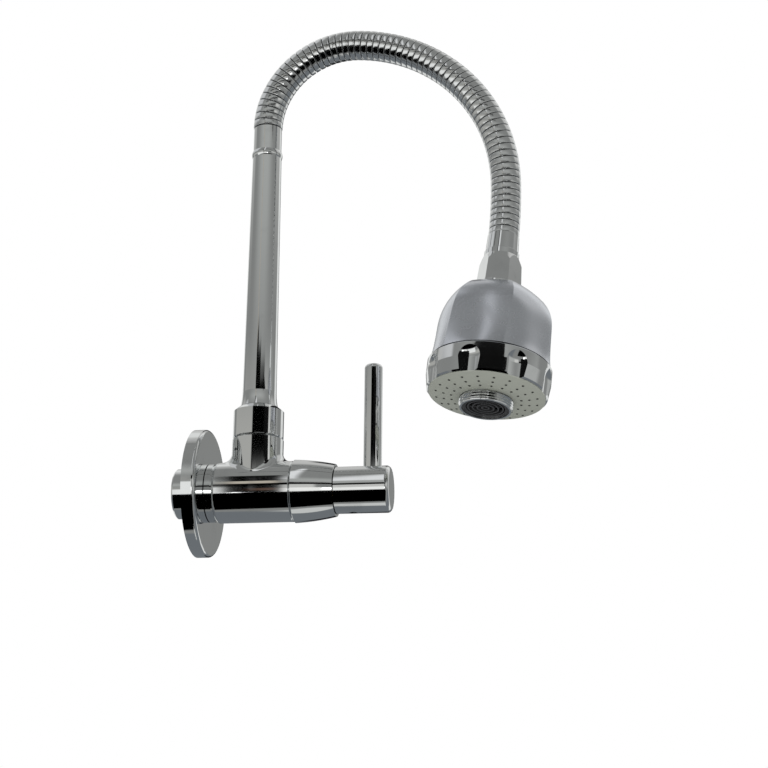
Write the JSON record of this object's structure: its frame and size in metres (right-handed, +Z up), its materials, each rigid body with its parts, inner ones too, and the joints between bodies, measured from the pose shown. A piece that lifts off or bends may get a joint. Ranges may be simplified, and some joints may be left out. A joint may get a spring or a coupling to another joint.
{
  "type": "wall-mounted kitchen faucet",
  "caption": "Wall-mounted single-lever kitchen tap with an upright riser, a ribbed flexible gooseneck spout and a bell-shaped two-jet spray head.",
  "frame": {"origin": "centre of the inlet thread on the wall plane, which is the back face of the wall flange", "axes": "+X out of the wall along the valve axis, +Z up along the riser, +Y to the right as seen from the wall"},
  "size_m": [0.2007, 0.0911, 0.2968],
  "materials": {
    "chromed_brass": "polished chrome plate on cast or turned brass",
    "chromed_steel_strip": "chromed wound steel strip",
    "satin_chromed_plastic": "satin chrome plate on moulded plastic",
    "bright_chromed_plastic": "bright chrome plate on moulded plastic",
    "grey_plastic": "pale grey moulded plastic",
    "white_plastic": "natural white moulded plastic",
    "dark_plastic": "dark grey moulded plastic",
    "black_rubber": "nitrile rubber",
    "hose_rubber": "smooth grey silicone hose",
    "white_ceramic": null,
    "bare_brass": "turned brass",
    "steel": "zinc plated steel"
  },
  "bodies": {
    "valve": {"wall_flange": "chromed_brass", "valve_body": "chromed_brass", "cartridge_seat_seal": "black_rubber", "fixed_ceramic_disc": "white_ceramic", "cartridge_housing": "bare_brass", "bonnet_sleeve": "chromed_brass", "spout_nut": "chromed_brass", "spout_slip_ring": "white_plastic"},
    "lever": {"lever_hub": "chromed_brass", "lever_pin": "chromed_brass", "hub_grub_screw": "steel", "cartridge_spindle": "bare_brass", "spindle_rings": "black_rubber", "spindle_clip": "steel", "moving_ceramic_disc": "white_ceramic"},
    "spout": {"riser_pipe": "chromed_brass", "spout_rings": "black_rubber", "upper_ferrule": "chromed_brass", "upper_hose_tail": "bare_brass", "hose_length_01": "chromed_steel_strip", "water_hose": "hose_rubber"},
    "neck_02": {"hose_length_02": "chromed_steel_strip"},
    "neck_03": {"hose_length_03": "chromed_steel_strip"},
    "neck_04": {"hose_length_04": "chromed_steel_strip"},
    "neck_05": {"hose_length_05": "chromed_steel_strip"},
    "neck_06": {"hose_length_06": "chromed_steel_strip"},
    "neck_07": {"hose_length_07": "chromed_steel_strip"},
    "neck_08": {"hose_length_08": "chromed_steel_strip"},
    "neck_09": {"hose_length_09": "chromed_steel_strip"},
    "neck_10": {"hose_length_10": "chromed_steel_strip"},
    "head": {"hose_length_11": "chromed_steel_strip", "lower_ferrule": "chromed_brass", "lower_hose_tail": "bare_brass", "neck_cone": "chromed_brass", "neck_washer": "black_rubber", "head_shell": "satin_chromed_plastic", "head_core": "white_plastic", "selector_seal": "black_rubber"},
    "selector": {"selector_ring": "bright_chromed_plastic", "spray_face": "grey_plastic", "outlet_collar": "chromed_brass", "aerator_housing": "dark_plastic", "aerator_screen": "dark_plastic"}
  },
  "joints": [
    {"name": "lever_turn", "type": "hinge", "parent": "valve", "child": "lever", "pos_m": [0.0937, 0, 0], "axis": [1, 0, 0], "range_deg": [0, 90]},
    {"name": "spout_swivel", "type": "hinge", "parent": "valve", "child": "spout", "pos_m": [0.032, 0, 0], "axis": [0, 0, 1], "range_deg": [-75, 85]},
    {"name": "neck_bend_01", "type": "hinge", "parent": "spout", "child": "neck_02", "pos_m": [0.03722, -0.00046, 0.22985], "axis": [0.0872, 0.9962, 0], "range_deg": [-6, 0.5], "deforming": ["water_hose"]},
    {"name": "neck_bend_02", "type": "hinge", "parent": "neck_02", "child": "neck_03", "pos_m": [0.05172, -0.00172, 0.24646], "axis": [0.0872, 0.9962, 0], "range_deg": [-6, 0.5], "deforming": ["water_hose"]},
    {"name": "neck_bend_03", "type": "hinge", "parent": "neck_03", "child": "neck_04", "pos_m": [0.07221, -0.00352, 0.25449], "axis": [0.0872, 0.9962, 0], "range_deg": [-6, 0.5], "deforming": ["water_hose"]},
    {"name": "neck_bend_04", "type": "hinge", "parent": "neck_04", "child": "neck_05", "pos_m": [0.09423, -0.00544, 0.25279], "axis": [0.0872, 0.9962, 0], "range_deg": [-6, 0.5], "deforming": ["water_hose"]},
    {"name": "neck_bend_05", "type": "hinge", "parent": "neck_05", "child": "neck_06", "pos_m": [0.11508, -0.00727, 0.24525], "axis": [0.0872, 0.9962, 0], "range_deg": [-6, 0.5], "deforming": ["water_hose"]},
    {"name": "neck_bend_06", "type": "hinge", "parent": "neck_06", "child": "neck_07", "pos_m": [0.13355, -0.00888, 0.23296], "axis": [0.0872, 0.9962, 0], "range_deg": [-6, 0.5], "deforming": ["water_hose"]},
    {"name": "neck_bend_07", "type": "hinge", "parent": "neck_07", "child": "neck_08", "pos_m": [0.14858, -0.0102, 0.21662], "axis": [0.0872, 0.9962, 0], "range_deg": [-6, 0.5], "deforming": ["water_hose"]},
    {"name": "neck_bend_08", "type": "hinge", "parent": "neck_08", "child": "neck_09", "pos_m": [0.15931, -0.01114, 0.19716], "axis": [0.0872, 0.9962, 0], "range_deg": [-6, 0.5], "deforming": ["water_hose"]},
    {"name": "neck_bend_09", "type": "hinge", "parent": "neck_09", "child": "neck_10", "pos_m": [0.16514, -0.01165, 0.1757], "axis": [0.0872, 0.9962, 0], "range_deg": [-6, 0.5], "deforming": ["water_hose"]},
    {"name": "neck_bend_10", "type": "hinge", "parent": "neck_10", "child": "head", "pos_m": [0.16602, -0.01191, 0.15346], "axis": [0.0872, 0.9962, 0], "range_deg": [-6, 0.5], "deforming": ["water_hose"]},
    {"name": "selector_turn", "type": "hinge", "parent": "head", "child": "selector", "pos_m": [0.15631, -0.02684, 0.0401], "axis": [-0.0908, -0.1399, -0.986], "range_deg": [0, 60]}
  ]
}
